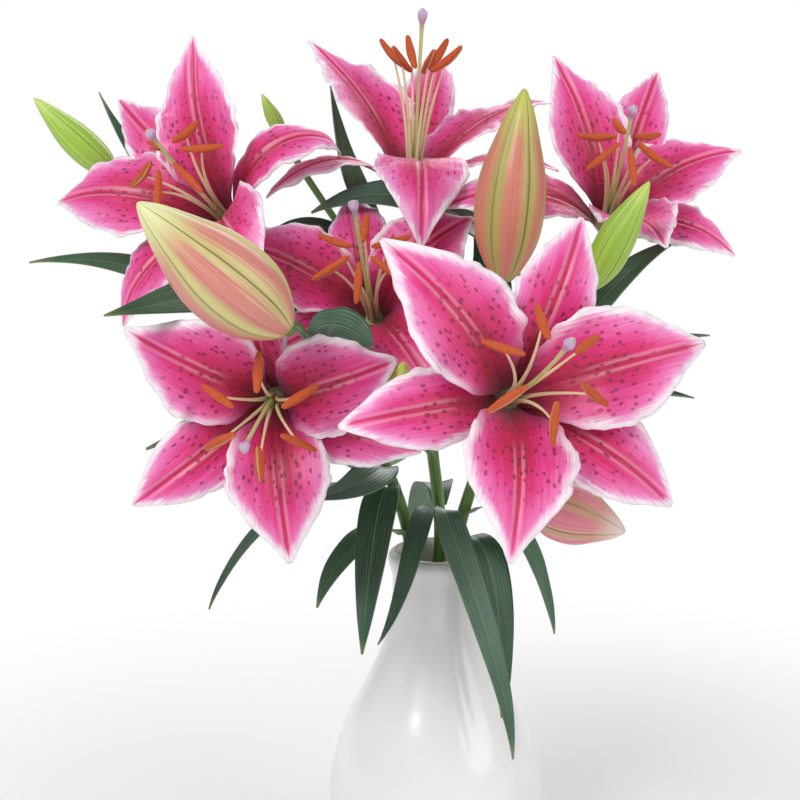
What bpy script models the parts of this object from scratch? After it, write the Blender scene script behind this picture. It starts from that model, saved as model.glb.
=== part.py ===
"""A bouquet of pink lilies standing in a white bottle-shaped vase.

Blender 4.5, metres, +Z up. The origin is the centre of the vase's base; the flowers face -Y.
"""
import math

import bmesh
import bpy
import numpy as np

MM = 0.001
GAP = 0.3                      # running gap left between neighbours, mm

# ---- tepals: outline as (share of length, share of half width) -------------------------------
PETAL_OUTLINE = ((0, .17), (.12, .30), (.28, .76), (.44, 1.0), (.58, .96), (.74, .66), (.88, .30), (1, .04))
SEPAL_OUTLINE = ((0, .30), (.12, .42), (.28, .78), (.44, .98), (.57, 1.0), (.74, .76), (.88, .38), (1, .05))
PETAL_ROOT = (4.8, 0.0)        # radius and height of a petal's root row on the flower's axis
SEPAL_ROOT = (5.8, -2.6)
PETAL_LEAN, SEPAL_LEAN = 22, 30
TEPAL_THICKNESS = 1.2
TEPAL_ROWS, TEPAL_COLUMNS = 6, 4
LINE_STEPS = 48

# ---- flowers: base in mm, facing, then each tepal as (azimuth, length, width, lean at the tip, curl)
# Azimuth is counted in the flower's own plane: 0 to the right, 90 up, as seen from in front of it.
# "stamens" is the filaments' length, their lean at the tip, and how far the anthers point forward;
# "droop" bends stamens and pistil to the right and up.
FLOWERS = {
    "front_right": {
        "base": (31, -135, 311), "facing": (.23, -.91, .35),
        "petals": ((132, 111, 54, 115, 1.0), (11, 106, 58, 120, 1.0), (257, 95, 54, 105, 1.0)),
        "sepals": ((66, 97, 40, 110, 1.0), (321, 99, 42, 125, 1.0), (187, 95, 38, 125, 1.0)),
        "pistil": 92, "stamens": (66, 36, -.5), "droop": (.02, .12)},
    "front_left": {
        "base": (-85, -90, 302), "facing": (-.03, -.99, .10),
        "petals": ((152, 90, 52, 110, 1.0), (278, 90, 52, 110, 1.0), (19, 82, 50, 150, 1.5)),
        "sepals": ((217, 92, 38, 115, 1.0), (342, 84, 36, 120, 1.0), (103, 70, 30, 165, 1.2)),
        "pistil": 88, "stamens": (62, 36, -.5), "droop": (-.06, -.16)},
    "upper_left": {
        "base": (-113, -20, 384), "facing": (-.45, -.65, .60),
        "petals": ((190, 104, 52, 115, 1.0), (105, 100, 50, 80, 1.0), (325, 86, 48, 150, 1.4)),
        "sepals": ((147, 98, 34, 95, 1.0), (50, 98, 30, 200, 1.4), (243, 86, 36, 140, 1.0)),
        "pistil": 78, "stamens": (58, 30, -.4), "droop": (0, .05)},
    "middle": {
        "base": (-35, -30, 333), "facing": (-.10, -.75, .65),
        "petals": ((164, 98, 50, 108, 1.0), (44, 80, 50, 118, 1.0), (304, 78, 46, 115, 1.0)),
        "sepals": ((104, 78, 34, 126, 1.0), (216, 66, 30, 105, 1.0), (352, 68, 30, 120, 1.0)),
        "pistil": 96, "stamens": (60, 26, -.2), "droop": (0, .08)},
    "top": {
        "base": (-14, 20, 395), "facing": (.05, -.15, .98),
        "petals": ((126, 106, 52, 66, 1.0), (255, 108, 50, 190, 1.2), (2, 98, 50, 92, 1.0)),
        "sepals": ((190, 98, 26, 140, 1.0), (64, 112, 32, 72, 1.0), (322, 88, 30, 112, 1.0)),
        "pistil": 100, "stamens": (76, 16, .7), "droop": (0, 0)},
    "upper_right": {
        "base": (92, 0, 381), "facing": (.10, -.60, .78),
        "petals": ((110, 96, 46, 80, 1.0), (14, 86, 48, 105, 1.0), (280, 76, 44, 92, 1.2)),
        "sepals": ((64, 96, 34, 92, 1.0), (330, 76, 32, 130, 1.0), (186, 106, 38, 118, 1.0)),
        "pistil": 78, "stamens": (56, 26, -.3), "droop": (0, .05)},
}
FILAMENT_RADIUS = 0.8
ANTHER = (23, 2.4)             # length and radius
DISC = (3.4, 1.1, 2.1)         # radius, bottom and top of the small disc that carries the stamens

# ---- stems: centre lines as points in mm, bottom to top ---------------------------------------
STEMS = {
    "stem_left": ((-10, -28, 8), (-14, -16, 100), (-15, -3, 195),
                  (-27, -6, 240), (-52, -10, 285), (-80, -8, 322)),
    "stem_middle": ((-23, 19, 8), (-8, 20, 100), (2, 15, 195),
                    (-2, 16, 245), (-10, 18, 295), (-20, 20, 338)),
    "stem_right": ((28, 10, 8), (24, -1, 100), (11, -10, 195),
                   (22, -14, 245), (42, -14, 295), (64, 0, 332)),
}
STEM_RADIUS = (4.0, 3.2)       # at the foot and at the top
PEDICEL_RADIUS = 2.1
RECEPTACLE_RADIUS = 3.4

# Which stem, and the height on it, carries each flower's pedicel.
FLOWER_SEATS = {
    "front_right": ("stem_right", 236, 45), "front_left": ("stem_left", 262, 30),
    "upper_left": ("stem_left", 316, 26), "middle": ("stem_middle", 288, 22),
    "top": ("stem_middle", 334, 26), "upper_right": ("stem_right", 328, 24),
}

# ---- buds: stem, height on it, base, tip, diameter, and the way the pedicel ends ------------------
BUDS = {
    "bud_front": ("stem_left", 262, (-73, -150, 347), (-139, -176, 410), 43, (.05, -.97, -.35)),
    "bud_upright": ("stem_right", 276, (31, -78, 359), (41, -78, 457), 36, (.05, 0, 1)),
    "bud_small": ("stem_middle", 240, (-28, -84, 277), (-19, -112, 325), 24, (.1, -.4, .9)),
    "bud_lower": ("stem_right", 226, (46, -82, 246), (94, -102, 235), 33, (.8, -.5, -.2)),
    "bud_green_left": ("stem_left", 319, (-179, 27, 404), (-224, 25, 448), 19, (-.7, 0, .7)),
    "bud_green_right": ("stem_right", 306, (76, -74, 355), (104, -80, 411), 20, (.4, 0, .9)),
    "bud_green_top": ("stem_middle", 300, (-88, 58, 425), (-100, 56, 449), 9, (-.4, 0, .9)),
}
BUD_OUTLINE = ((0, .18), (.08, .52), (.22, .88), (.38, 1.0), (.56, .92), (.75, .62), (.90, .33), (1, .05))

# ---- leaves: stem, height, azimuth and climb at the root, tip, azimuth and climb at the tip, width, roll
# Azimuth here is in plan: 0 to +X, -90 to -Y. Roll turns the upper face towards the front.
LEAVES = {
    "leaf_01": ("stem_left", 300, 120, 45, (-192, 52, 450), 160, 65, 20, 20),
    "leaf_02": ("stem_left", 272, 190, 40, (-221, -20, 362), 185, -8, 24, 35),
    "leaf_03": ("stem_left", 232, 180, 40, (-159, -34, 262), 195, -20, 20, 30),
    "leaf_04": ("stem_left", 220, 190, 50, (-125, -50, 176), 205, -68, 17, 0),
    "leaf_05": ("stem_left", 313, 222, 38, (-160, -148, 354), 222, -5, 26, 45),
    "leaf_06": ("bud_front", .66, 10, 65, (-35, -104, 330), 330, -50, 24, 40),
    "leaf_07": ("stem_middle", 306, 215, 62, (-98, 2, 369), 180, -35, 30, 50),
    "leaf_08": ("stem_middle", 331, 228, 70, (-60, 42, 454), 120, 75, 18, 10),
    "leaf_09": ("stem_right", 324, 190, 74, (-69, -12, 388), 185, -28, 28, 42),
    "leaf_10": ("stem_right", 268, 115, 70, (18, 34, 394), 150, 60, 26, 10),
    "leaf_11": ("stem_right", 290, -20, 40, (131, -22, 376), 0, 25, 24, 35),
    "leaf_12": ("stem_right", 214, 225, 55, (40, -76, 100), 280, -78, 18, 0),
    "leaf_13": ("stem_left", 230, 255, 45, (-41, -88, 164), 255, -72, 20, 0),
    "leaf_14": ("stem_left", 206, 235, 35, (-66, -56, 179), 225, -65, 20, 0),
    "leaf_15": ("stem_middle", 214, 250, 40, (-33, -62, 160), 215, -50, 13, 0),
    "leaf_16": ("stem_right", 204, 300, 45, (35, -52, 114), 250, -80, 21, 0),
    "leaf_17": ("stem_right", 222, 320, 40, (64, -44, 160), 310, -78, 18, 0),
    "leaf_18": ("stem_left", 244, 270, 30, (-66, -72, 244), 190, -10, 20, 45),
    "leaf_19": ("stem_right", 258, 5, 35, (143, -4, 284), 0, -12, 18, 20),
    "leaf_20": ("stem_right", 280, -25, 30, (148, -18, 322), -10, 5, 20, 20),
    "leaf_21": ("stem_middle", 300, 80, 55, (10, 118, 352), 85, -10, 28, 0),
    "leaf_22": ("stem_left", 244, 120, 45, (-88, 84, 268), 120, -40, 24, 0),
    "leaf_23": ("stem_right", 246, 60, 45, (94, 76, 262), 50, -45, 24, 0),
    "leaf_24": ("stem_middle", 216, 85, 40, (-12, 92, 168), 95, -65, 22, 0),
}
LEAF_OUTLINE = ((0, .38), (.12, .62), (.35, 1.0), (.60, .90), (.82, .52), (1, .05))
LEAF_FOLD = 0.16               # rise of each half from the midrib, share of its width
LEAF_THICKNESS = 1.0
LEAF_ROWS, LEAF_COLUMNS = 8, 2

# ---- vase: the wall as (radius, height), up the inside and down the outside -------------------------
VASE_INSIDE = ((0, 6), (38, 6.5), (50, 12), (56, 28), (57, 50), (54, 72), (46, 95), (36, 115),
               (27.5, 134), (22.5, 153), (21, 170), (21, 184), (22, 191))
VASE_OUTSIDE = ((24.5, 195), (27, 193.5), (28, 190), (27, 185.5), (25.5, 180), (25.5, 168), (27.5, 152),
                (32.5, 135), (41, 116), (51, 96), (58.5, 74), (62, 52), (61, 28), (56, 10),
                (50, 2), (46, 0), (0, 0))
VASE_STEPS = 28


def start_clean():
    for thing in list(bpy.data.objects):
        bpy.data.objects.remove(thing, do_unlink=True)


def through(keys, t):
    """A smooth curve through (t, value) keys, read at t."""
    ts, ys = [k[0] for k in keys], [k[1] for k in keys]
    t = min(max(t, ts[0]), ts[-1])
    i = min(max(k for k in range(len(ts)) if ts[k] <= t), len(ts) - 2)

    def slope(j):
        a, b = max(j - 1, 0), min(j + 1, len(ts) - 1)
        return (ys[b] - ys[a]) / (ts[b] - ts[a])

    h = ts[i + 1] - ts[i]
    u = (t - ts[i]) / h
    return ((2 * u**3 - 3 * u**2 + 1) * ys[i] + (u**3 - 2 * u**2 + u) * h * slope(i)
            + (3 * u**2 - 2 * u**3) * ys[i + 1] + (u**3 - u**2) * h * slope(i + 1))


def unit(vector):
    vector = np.array(vector, float)
    return vector / np.linalg.norm(vector)


def direction(azimuth, climb):
    """The unit vector at an azimuth in plan and a climb above the horizontal, in degrees."""
    a, c = math.radians(azimuth), math.radians(climb)
    return np.array([math.cos(a) * math.cos(c), math.sin(a) * math.cos(c), math.sin(c)])


def bezier(points, t):
    points = [np.array(p, float) for p in points]
    while len(points) > 1:
        points = [a * (1 - t) + b * t for a, b in zip(points[:-1], points[1:])]
    return points[0]


# ---- objects ----------------------------------------------------------------------------------
def paint(thing, colour, roughness):
    material = bpy.data.materials.new(thing.name)
    material.use_nodes = True
    shader = material.node_tree.nodes["Principled BSDF"]
    shader.inputs["Base Color"].default_value = (*colour, 1)
    shader.inputs["Roughness"].default_value = roughness
    thing.data.materials.clear()
    thing.data.materials.append(material)


def from_bmesh(name, bm, collection):
    mesh = bpy.data.meshes.new(name)
    bm.to_mesh(mesh)
    bm.free()
    thing = bpy.data.objects.new(name, mesh)
    collection.objects.link(thing)
    return thing


def thicken(thing, thickness):
    solidify = thing.modifiers.new("thickness", "SOLIDIFY")
    solidify.thickness = thickness * MM
    solidify.offset = 0
    return thing


def grid(bm, rows, columns, place):
    """A grid of rows x columns faces, each vertex moved to place(s, v); returns its root row."""
    made = bmesh.ops.create_grid(bm, x_segments=columns, y_segments=rows, size=1)["verts"]
    keyed = [((vertex.co.y + 1) / 2, vertex.co.x, vertex) for vertex in made]
    for s, v, vertex in keyed:
        vertex.co = place(s, v) * MM
    return [vertex for s, v, vertex in sorted(keyed, key=lambda k: k[1]) if s < 1e-6]


def tubes(name, routes, collection, resolution):
    """One mesh of closed tubes; each route is a list of (point in mm, radius in mm)."""
    curve = bpy.data.curves.new(name, "CURVE")
    curve.dimensions = "3D"
    curve.bevel_depth = MM
    curve.bevel_resolution = resolution
    curve.use_fill_caps = True
    for route in routes:
        spline = curve.splines.new("POLY")
        spline.points.add(len(route) - 1)
        for knot, (point, radius) in zip(spline.points, route):
            knot.co = (*(point * MM), 1)
            knot.radius = radius
    made = bpy.data.objects.new(name + "_curve", curve)
    collection.objects.link(made)
    bpy.context.view_layer.update()
    mesh = bpy.data.meshes.new_from_object(made.evaluated_get(bpy.context.evaluated_depsgraph_get()))
    bpy.data.objects.remove(made, do_unlink=True)
    bm = bmesh.new()
    bm.from_mesh(mesh)
    bmesh.ops.remove_doubles(bm, verts=bm.verts, dist=0.01 * MM)
    bmesh.ops.recalc_face_normals(bm, faces=bm.faces)
    bpy.data.meshes.remove(mesh)
    return from_bmesh(name, bm, collection)


def unite(body, extra, helpers):
    """Joins extra to body with a Boolean union; extra moves to the helpers' collection."""
    for collection in list(extra.users_collection):
        collection.objects.unlink(extra)
    helpers.objects.link(extra)
    extra.hide_render = True
    extra.display_type = "WIRE"
    union = body.modifiers.new("union", "BOOLEAN")
    union.operation = "UNION"
    union.solver = "EXACT"
    union.use_self = True
    union.object = extra
    return body


# ---- flowers ------------------------------------------------------------------------------------
def flower_axes(facing):
    """Right, up and outward unit vectors of a flower, as seen from in front of it."""
    out = unit(facing)
    right = unit(np.cross((0, 0, 1), out))
    return right, np.cross(out, right), out


def centre_line(length, lean_root, lean_tip, curl, root):
    """(radius, height, lean) at even steps from a tepal's root to its tip."""
    radius, height = root
    step = length / LINE_STEPS
    rows = [(radius, height, math.radians(lean_root))]
    for k in range(1, LINE_STEPS + 1):
        middle, lean = (math.radians(lean_root + (lean_tip - lean_root) * (share / LINE_STEPS) ** curl)
                        for share in (k - .5, k))
        radius += math.sin(middle) * step
        height += math.cos(middle) * step
        rows.append((radius, height, lean))
    return rows


def tepal_surface(base, axes, tepal, outline, lean_root, root):
    """place(s, v) of one tepal: s runs root to tip, v from edge to edge, curved round the axis."""
    azimuth, length, width, lean_tip, curl = tepal
    right, up, out = axes
    a = math.radians(azimuth)
    away = math.cos(a) * right + math.sin(a) * up
    side = math.cos(a) * up - math.sin(a) * right
    line = centre_line(length, lean_root, lean_tip, curl, root)

    def place(s, v):
        k = min(int(s * LINE_STEPS), LINE_STEPS - 1)
        f = s * LINE_STEPS - k
        radius, height, lean = (p * (1 - f) + q * f for p, q in zip(line[k], line[k + 1]))
        x = v * width / 2 * through(outline, s)
        inward = math.sin(lean) * out - math.cos(lean) * away
        cup = x * x * math.cos(lean) / (2 * max(radius, 7))
        return np.array(base) + away * radius + out * height + side * x + inward * cup

    return place


def whorl(name, spec, kind, collection):
    """Three tepals that share one small hub, as a single thin shell."""
    outline, lean, root = ((PETAL_OUTLINE, PETAL_LEAN, PETAL_ROOT) if kind == "petals"
                           else (SEPAL_OUTLINE, SEPAL_LEAN, SEPAL_ROOT))
    axes = flower_axes(spec["facing"])
    bm = bmesh.new()
    rim = []
    for tepal in sorted(spec[kind], key=lambda t: t[0] % 360):
        place = tepal_surface(spec["base"], axes, tepal, outline, lean, root)
        rim += grid(bm, TEPAL_ROWS, TEPAL_COLUMNS, place)
    centre = bm.verts.new((np.array(spec["base"]) + axes[2] * root[1]) * MM)
    for a, b in zip(rim, rim[1:] + rim[:1]):
        bm.faces.new((a, b, centre))
    bmesh.ops.recalc_face_normals(bm, faces=bm.faces)
    thing = thicken(from_bmesh(name, bm, collection), TEPAL_THICKNESS)
    paint(thing, (.78, .06, .22) if kind == "petals" else (.80, .10, .28), .45)


def stamens(name, spec, collection, helpers):
    """Six filaments on a small disc, each with an anther set crosswise on its tip."""
    base = np.array(spec["base"])
    right, up, out = flower_axes(spec["facing"])
    length, spread, forward = spec["stamens"]
    routes = []
    for k in range(6):
        a = math.radians(30 + 60 * k)
        away = math.cos(a) * right + math.sin(a) * up
        route = []
        point = base + away * 2.3 + out * (DISC[1] + .3)
        for step in range(6):
            route.append((point, FILAMENT_RADIUS))
            lean = math.radians(4 + (spread - 4) * (step / 4) ** 1.2)
            bend = spec["droop"][0] * right + spec["droop"][1] * up
            heading = unit(math.cos(lean) * out + math.sin(lean) * away + bend * step / 5)
            if step < 5:
                point = point + heading * length / 5
        cross = unit(.75 * away + forward * out)
        tip = route[-1][0]
        shape = ((-.5, .35), (-.25, 1), (.25, 1), (.5, .35))
        routes += [route, [(tip + cross * ANTHER[0] * t, ANTHER[1] * r) for t, r in shape]]
    disc = tubes(name, [[(base + out * DISC[1], DISC[0]), (base + out * DISC[2], DISC[0])]], collection, 2)
    unite(disc, tubes(name + "_filaments", routes, collection, 0), helpers)
    paint(disc, (.75, .22, .08), .6)


def pistil(name, spec, collection):
    """Ovary, style and stigma in one tapering tube along the flower's axis."""
    base = np.array(spec["base"])
    right, up, out = flower_axes(spec["facing"])
    bend = spec["droop"][0] * right + spec["droop"][1] * up
    length = spec["pistil"]
    shape = ((0, 1.5), (.03, 1.9), (.2, 1.9), (.25, 1.1), (.5, 1.0),
             (.72, 1.0), (.93, 1.2), (.96, 2.8), (1, 2.2))
    foot = base + out * (DISC[2] + GAP)
    route = [(foot + out * length * t + bend * length * t * t, r) for t, r in shape]
    thing = tubes(name, [route], collection, 1)
    paint(thing, (.55, .62, .25), .5)


# ---- stems, buds and leaves -------------------------------------------------------------------------
def on_stem(stem, height):
    """Centre point, unit tangent and radius of a stem at a height."""
    points = STEMS[stem]
    xs = [(p[2], p[0]) for p in points]
    ys = [(p[2], p[1]) for p in points]
    centre = np.array([through(xs, height), through(ys, height), height])
    low, high = max(height - 3, points[0][2]), min(height + 3, points[-1][2])
    tangent = unit([through(xs, high) - through(xs, low), through(ys, high) - through(ys, low), high - low])
    share = (height - points[0][2]) / (points[-1][2] - points[0][2])
    return centre, tangent, STEM_RADIUS[0] + (STEM_RADIUS[1] - STEM_RADIUS[0]) * share


def pedicel_handles(stem, height, end, heading, reach):
    start, tangent, _ = on_stem(stem, height)
    neck = end - unit(heading) * 2
    return start, start + tangent * reach, neck - unit(heading) * reach, neck


def pedicel(handles, end, end_radius):
    """A side stalk along its four handles, then square to its heading up to its end."""
    steps = 8
    route = [(bezier(handles, k / steps), PEDICEL_RADIUS) for k in range(steps)]
    return route + [(handles[3], (PEDICEL_RADIUS + end_radius) / 2), (end, end_radius)]


def flower_pedicel(flower):
    """The stem, handles, end and end radius of a flower's pedicel."""
    carrier, height, reach = FLOWER_SEATS[flower]
    out = unit(FLOWERS[flower]["facing"])
    end = np.array(FLOWERS[flower]["base"]) + out * (SEPAL_ROOT[1] - TEPAL_THICKNESS / 2 - GAP)
    return carrier, pedicel_handles(carrier, height, end, out, reach), end, RECEPTACLE_RADIUS


def bud_pedicel(name):
    """The stem, handles, end and end radius of a bud's pedicel."""
    carrier, height, base, tip, diameter, heading = BUDS[name]
    radius = min(PEDICEL_RADIUS + .3, .12 * diameter)
    along = unit(np.array(tip) - np.array(base))
    lift = radius * np.linalg.norm(np.cross(along, unit(heading)))
    end = np.array(base) - along * (GAP + .8 * lift)
    return carrier, pedicel_handles(carrier, height, end, heading, 30), end, radius


def on_carrier(name, place):
    """Centre, tangent and radius on a stem at a height, or on a bud's pedicel at a share of it."""
    if name in STEMS:
        return on_stem(name, place)
    handles = bud_pedicel(name)[1]
    tangent = unit(bezier(handles, place + .02) - bezier(handles, place - .02))
    return bezier(handles, place), tangent, PEDICEL_RADIUS + .4


def stem(name, collection, helpers):
    """A main stem with the pedicels of its flowers and buds."""
    low, high = STEMS[name][0][2], STEMS[name][-1][2]
    heights = [low + (high - low) * k / 14 for k in range(15)]
    main = tubes(name, [[(on_stem(name, h)[0], on_stem(name, h)[2]) for h in heights]], collection, 2)
    stalks = [flower_pedicel(flower) for flower in FLOWERS] + [bud_pedicel(bud) for bud in BUDS]
    routes = [pedicel(handles, end, radius) for carrier, handles, end, radius in stalks if carrier == name]
    unite(main, tubes(name + "_pedicels", routes, collection, 1), helpers)
    paint(main, (.14, .26, .07), .55)


def bud(name, spec, collection):
    """A closed bud: a sphere drawn out to a spindle."""
    _, _, base, tip, diameter, _ = spec
    base, tip = np.array(base, float), np.array(tip, float)
    along = unit(tip - base)
    across = unit(np.cross(along, (0, 1, .01)))
    third = np.cross(along, across)
    bm = bmesh.new()
    bmesh.ops.create_uvsphere(bm, u_segments=12, v_segments=9, radius=1)
    for vertex in bm.verts:
        s = math.acos(max(-1, min(1, -vertex.co.z))) / math.pi
        flat = math.hypot(vertex.co.x, vertex.co.y)
        radius = diameter / 2 * through(BUD_OUTLINE, s) if 1e-4 < s < 1 - 1e-4 else 0
        turn = math.atan2(vertex.co.y, vertex.co.x) if flat > 1e-6 else 0
        place = base + (tip - base) * s + radius * (math.cos(turn) * across + math.sin(turn) * third)
        vertex.co = place * MM
    bmesh.ops.recalc_face_normals(bm, faces=bm.faces)
    thing = from_bmesh(name, bm, collection)
    paint(thing, (.30, .48, .06) if "green" in name else (.72, .50, .30), .45)


def leaf_surface(spec):
    """place(s, v) of one leaf, rooted just clear of its stem."""
    carrier, height, azimuth, climb, tip, tip_azimuth, tip_climb, width, roll = spec
    centre, tangent, radius = on_carrier(carrier, height)
    outward = direction(azimuth, 0)
    outward = unit(outward - tangent * np.dot(outward, tangent))
    root = centre + outward * (radius + GAP + LEAF_THICKNESS / 2 + .1)
    tip = np.array(tip, float)
    reach = np.linalg.norm(tip - root) * .42
    handles = (root, root + direction(azimuth, climb) * reach,
               tip - direction(tip_azimuth, tip_climb) * reach, tip)
    broad_tip = unit((root[1] - tip[1], tip[0] - root[0], 0))
    if broad_tip[1] > 0:
        broad_tip = -broad_tip
    broad_root = unit(np.cross(tangent, outward))
    if np.dot(broad_root, broad_tip) < 0:
        broad_root = -broad_root
    upward = 1 if np.cross(tip - root + (0, 0, .1), broad_tip)[2] > 0 else -1

    def place(s, v):
        along = unit(bezier(handles, min(1, s + .02)) - bezier(handles, max(0, s - .02)))
        blend = min(1, s / .35)
        broad = broad_root * (1 - blend) + broad_tip * blend
        broad = unit(broad - along * np.dot(broad, along))
        face = upward * np.cross(along, broad)
        turn = math.radians(roll) * min(1, s / .6)
        broad, face = (math.cos(turn) * broad - math.sin(turn) * face,
                       math.cos(turn) * face + math.sin(turn) * broad)
        half = width / 2 * through(LEAF_OUTLINE, s)
        fold = LEAF_FOLD * min(1, s / .2)
        return bezier(handles, s) + broad * v * half + face * abs(v) * half * fold

    return place


def leaf(name, spec, collection):
    bm = bmesh.new()
    grid(bm, LEAF_ROWS, LEAF_COLUMNS, leaf_surface(spec))
    thing = thicken(from_bmesh(name, bm, collection), LEAF_THICKNESS)
    paint(thing, (.03, .10, .05), .4)


# ---- vase -----------------------------------------------------------------------------------------
def vase(name, collection):
    """The vase's wall turned round the upright axis."""
    bm = bmesh.new()
    knots = [bm.verts.new((r * MM, 0, z * MM)) for r, z in VASE_INSIDE + VASE_OUTSIDE]
    for a, b in zip(knots[:-1], knots[1:]):
        bm.edges.new((a, b))
    thing = from_bmesh(name, bm, collection)
    screw = thing.modifiers.new("turn", "SCREW")
    screw.steps = screw.render_steps = VASE_STEPS
    screw.use_merge_vertices = True
    screw.merge_threshold = 0.05 * MM
    paint(thing, (.80, .79, .80), .25)


def build():
    start_clean()
    parts = bpy.data.collections.new("lily_bouquet")
    helpers = bpy.data.collections.new("helpers")
    bpy.context.scene.collection.children.link(parts)
    bpy.context.scene.collection.children.link(helpers)
    vase("vase", parts)
    for name in STEMS:
        stem(name, parts, helpers)
    for name, spec in FLOWERS.items():
        for kind in ("sepals", "petals"):
            whorl(f"{name}_{kind}", spec, kind, parts)
        stamens(f"{name}_stamens", spec, parts, helpers)
        pistil(f"{name}_pistil", spec, parts)
    for name, spec in BUDS.items():
        bud(name, spec, parts)
    for name, spec in LEAVES.items():
        leaf(name, spec, parts)


build()
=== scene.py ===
"""The lily bouquet's fine surfaces, materials, light and camera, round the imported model.

Lengths are in millimetres in the tables and metres in Blender. The flowers face -Y.
"""
import math

import bpy
import numpy as np
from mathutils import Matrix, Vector, noise

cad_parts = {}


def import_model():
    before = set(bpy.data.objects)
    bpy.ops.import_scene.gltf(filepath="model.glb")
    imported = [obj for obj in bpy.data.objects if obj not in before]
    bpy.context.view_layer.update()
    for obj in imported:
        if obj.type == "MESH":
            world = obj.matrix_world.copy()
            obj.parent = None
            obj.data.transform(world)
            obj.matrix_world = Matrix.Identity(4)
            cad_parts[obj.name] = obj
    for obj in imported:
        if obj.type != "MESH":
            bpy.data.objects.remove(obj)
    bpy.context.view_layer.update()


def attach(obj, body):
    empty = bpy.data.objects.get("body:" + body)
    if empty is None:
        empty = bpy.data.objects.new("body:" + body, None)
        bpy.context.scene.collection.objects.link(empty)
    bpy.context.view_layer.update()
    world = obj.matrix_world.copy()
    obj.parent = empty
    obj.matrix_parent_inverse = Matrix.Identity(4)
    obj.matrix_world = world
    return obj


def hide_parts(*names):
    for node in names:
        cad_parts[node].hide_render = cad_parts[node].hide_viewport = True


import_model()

MM = 0.001

# ---- tepals: the same centre lines and outlines as the model's, with finer rows -----------------
PETAL_OUTLINE = ((0, .17), (.12, .30), (.28, .76), (.44, 1.0), (.58, .96), (.74, .66), (.88, .30), (1, .04))
SEPAL_OUTLINE = ((0, .30), (.12, .42), (.28, .78), (.44, .98), (.57, 1.0), (.74, .76), (.88, .38), (1, .05))
PETAL_ROOT, SEPAL_ROOT = (4.8, 0.0), (5.8, -2.6)
PETAL_LEAN, SEPAL_LEAN = 22, 30
TEPAL_THICKNESS = 0.7
TEPAL_ROWS, TEPAL_COLUMNS = 48, 26
LINE_STEPS = 48
RUFFLE = {"petals": 4.2, "sepals": 2.0}    # how far the margins wave off the surface
CRINKLE = .075                             # share by which the outline wanders in and out
MIDRIB_GROOVE, GROOVE_WIDTH = 1.1, 1.5
SIDE_RIDGE, RIDGE_OFFSET = .5, 3.4         # the low ridges on either side of the midrib

# ---- flowers: base in mm, facing, then each tepal as (azimuth, length, width, lean at the tip, curl)
# Azimuth is counted in the flower's own plane: 0 to the right, 90 up, as seen from in front of it.
# "stamens" is the filaments' length, their lean at the tip, and how far the anthers point forward;
# "droop" bends stamens and pistil to the right and up.
FLOWERS = {
    "front_right": {
        "base": (31, -135, 311), "facing": (.23, -.91, .35),
        "petals": ((132, 111, 54, 115, 1.0), (11, 106, 58, 120, 1.0), (257, 95, 54, 105, 1.0)),
        "sepals": ((66, 97, 40, 110, 1.0), (321, 99, 42, 125, 1.0), (187, 95, 38, 125, 1.0)),
        "pistil": 92, "stamens": (66, 36, -.5), "droop": (.02, .12)},
    "front_left": {
        "base": (-85, -90, 302), "facing": (-.03, -.99, .10),
        "petals": ((152, 90, 52, 110, 1.0), (278, 90, 52, 110, 1.0), (19, 82, 50, 150, 1.5)),
        "sepals": ((217, 92, 38, 115, 1.0), (342, 84, 36, 120, 1.0), (103, 70, 30, 165, 1.2)),
        "pistil": 88, "stamens": (62, 36, -.5), "droop": (-.06, -.16)},
    "upper_left": {
        "base": (-113, -20, 384), "facing": (-.45, -.65, .60),
        "petals": ((190, 104, 52, 115, 1.0), (105, 100, 50, 80, 1.0), (325, 86, 48, 150, 1.4)),
        "sepals": ((147, 98, 34, 95, 1.0), (50, 98, 30, 200, 1.4), (243, 86, 36, 140, 1.0)),
        "pistil": 78, "stamens": (58, 30, -.4), "droop": (0, .05)},
    "middle": {
        "base": (-35, -30, 333), "facing": (-.10, -.75, .65),
        "petals": ((164, 98, 50, 108, 1.0), (44, 80, 50, 118, 1.0), (304, 78, 46, 115, 1.0)),
        "sepals": ((104, 78, 34, 126, 1.0), (216, 66, 30, 105, 1.0), (352, 68, 30, 120, 1.0)),
        "pistil": 96, "stamens": (60, 26, -.2), "droop": (0, .08)},
    "top": {
        "base": (-14, 20, 395), "facing": (.05, -.15, .98),
        "petals": ((126, 106, 52, 66, 1.0), (255, 108, 50, 190, 1.2), (2, 98, 50, 92, 1.0)),
        "sepals": ((190, 98, 26, 140, 1.0), (64, 112, 32, 72, 1.0), (322, 88, 30, 112, 1.0)),
        "pistil": 100, "stamens": (76, 16, .7), "droop": (0, 0)},
    "upper_right": {
        "base": (92, 0, 381), "facing": (.10, -.60, .78),
        "petals": ((110, 96, 46, 80, 1.0), (14, 86, 48, 105, 1.0), (280, 76, 44, 92, 1.2)),
        "sepals": ((64, 96, 34, 92, 1.0), (330, 76, 32, 130, 1.0), (186, 106, 38, 118, 1.0)),
        "pistil": 78, "stamens": (56, 26, -.3), "droop": (0, .05)},
}
FILAMENT_RADIUS = 0.9
ANTHER = (23, 2.5)
DISC = (3.4, 1.1, 2.1)
# Per flower: how far the pink pales outwards (0 deep, 1 pale) and the width of the white margin, mm.
FLOWER_TONES = {
    "front_right": (.58, 4.2), "front_left": (.52, 4.0), "upper_left": (.36, 2.2),
    "middle": (.26, 2.0), "top": (.60, 2.2), "upper_right": (.40, 2.2),
}

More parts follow.
